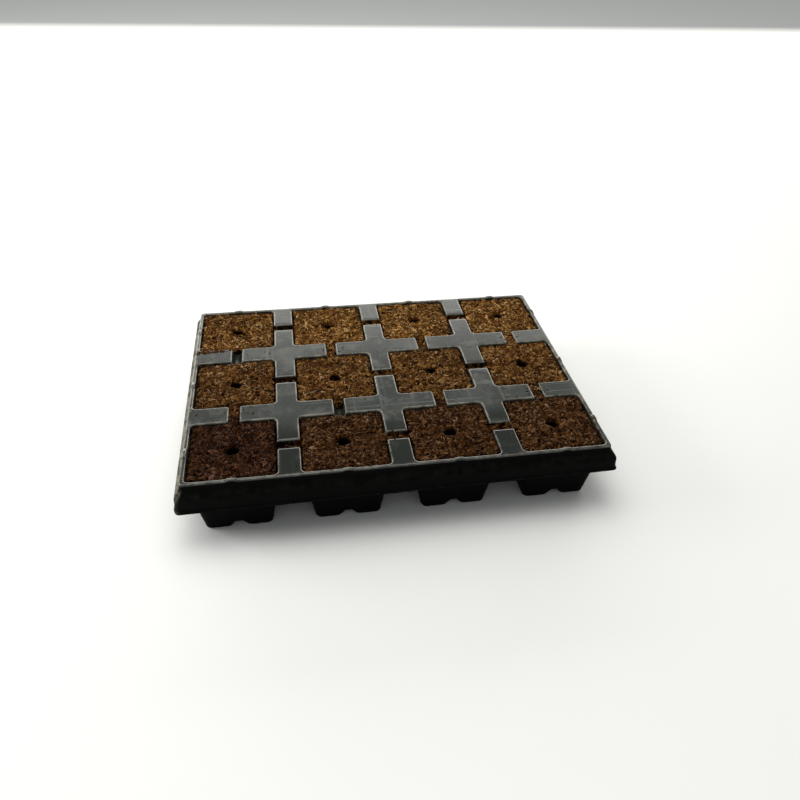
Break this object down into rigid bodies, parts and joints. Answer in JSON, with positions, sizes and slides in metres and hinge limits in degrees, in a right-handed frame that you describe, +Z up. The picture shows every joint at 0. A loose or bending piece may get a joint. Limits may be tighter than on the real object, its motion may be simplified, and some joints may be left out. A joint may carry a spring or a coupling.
{
  "type": "plug tray",
  "caption": "Formed plastic seedling tray with square tapered cells, root channels between them and a lift-out pressed fibre plug with a dibble hole in each cell.",
  "frame": {"origin": "centre of the tray's footprint, on the ground plane under its feet", "axes": "+X along the long side with the four columns of cells, +Y along the short side away from the front, +Z up"},
  "size_m": [0.1806, 0.1392, 0.0311],
  "materials": {
    "deck_plastic": "satin",
    "tray_plastic": "satin",
    "coir": "matte"
  },
  "bodies": {
    "tray": {"rim": "deck_plastic", "long_web_1": "deck_plastic", "long_web_2": "deck_plastic", "short_webs_1": "deck_plastic", "short_webs_2": "deck_plastic", "short_webs_3": "deck_plastic", "shoulder": "tray_plastic", "skirt": "tray_plastic", "cell_a1": "tray_plastic", "cell_a2": "tray_plastic", "cell_a3": "tray_plastic", "cell_a4": "tray_plastic", "cell_b1": "tray_plastic", "cell_b2": "tray_plastic", "cell_b3": "tray_plastic", "cell_b4": "tray_plastic", "cell_c1": "tray_plastic", "cell_c2": "tray_plastic", "cell_c3": "tray_plastic", "cell_c4": "tray_plastic"},
    "plug_a1": {"plug_a1": "coir"},
    "plug_a2": {"plug_a2": "coir"},
    "plug_a3": {"plug_a3": "coir"},
    "plug_a4": {"plug_a4": "coir"},
    "plug_b1": {"plug_b1": "coir"},
    "plug_b2": {"plug_b2": "coir"},
    "plug_b3": {"plug_b3": "coir"},
    "plug_b4": {"plug_b4": "coir"},
    "plug_c1": {"plug_c1": "coir"},
    "plug_c2": {"plug_c2": "coir"},
    "plug_c3": {"plug_c3": "coir"},
    "plug_c4": {"plug_c4": "coir"}
  },
  "joints": [
    {"name": "lift_a1", "type": "slide", "parent": "tray", "child": "plug_a1", "axis": [0, 0, 1], "range_m": [0, 0.045]},
    {"name": "lift_a2", "type": "slide", "parent": "tray", "child": "plug_a2", "axis": [0, 0, 1], "range_m": [0, 0.045]},
    {"name": "lift_a3", "type": "slide", "parent": "tray", "child": "plug_a3", "axis": [0, 0, 1], "range_m": [0, 0.045]},
    {"name": "lift_a4", "type": "slide", "parent": "tray", "child": "plug_a4", "axis": [0, 0, 1], "range_m": [0, 0.045]},
    {"name": "lift_b1", "type": "slide", "parent": "tray", "child": "plug_b1", "axis": [0, 0, 1], "range_m": [0, 0.045]},
    {"name": "lift_b2", "type": "slide", "parent": "tray", "child": "plug_b2", "axis": [0, 0, 1], "range_m": [0, 0.045]},
    {"name": "lift_b3", "type": "slide", "parent": "tray", "child": "plug_b3", "axis": [0, 0, 1], "range_m": [0, 0.045]},
    {"name": "lift_b4", "type": "slide", "parent": "tray", "child": "plug_b4", "axis": [0, 0, 1], "range_m": [0, 0.045]},
    {"name": "lift_c1", "type": "slide", "parent": "tray", "child": "plug_c1", "axis": [0, 0, 1], "range_m": [0, 0.045]},
    {"name": "lift_c2", "type": "slide", "parent": "tray", "child": "plug_c2", "axis": [0, 0, 1], "range_m": [0, 0.045]},
    {"name": "lift_c3", "type": "slide", "parent": "tray", "child": "plug_c3", "axis": [0, 0, 1], "range_m": [0, 0.045]},
    {"name": "lift_c4", "type": "slide", "parent": "tray", "child": "plug_c4", "axis": [0, 0, 1], "range_m": [0, 0.045]}
  ]
}
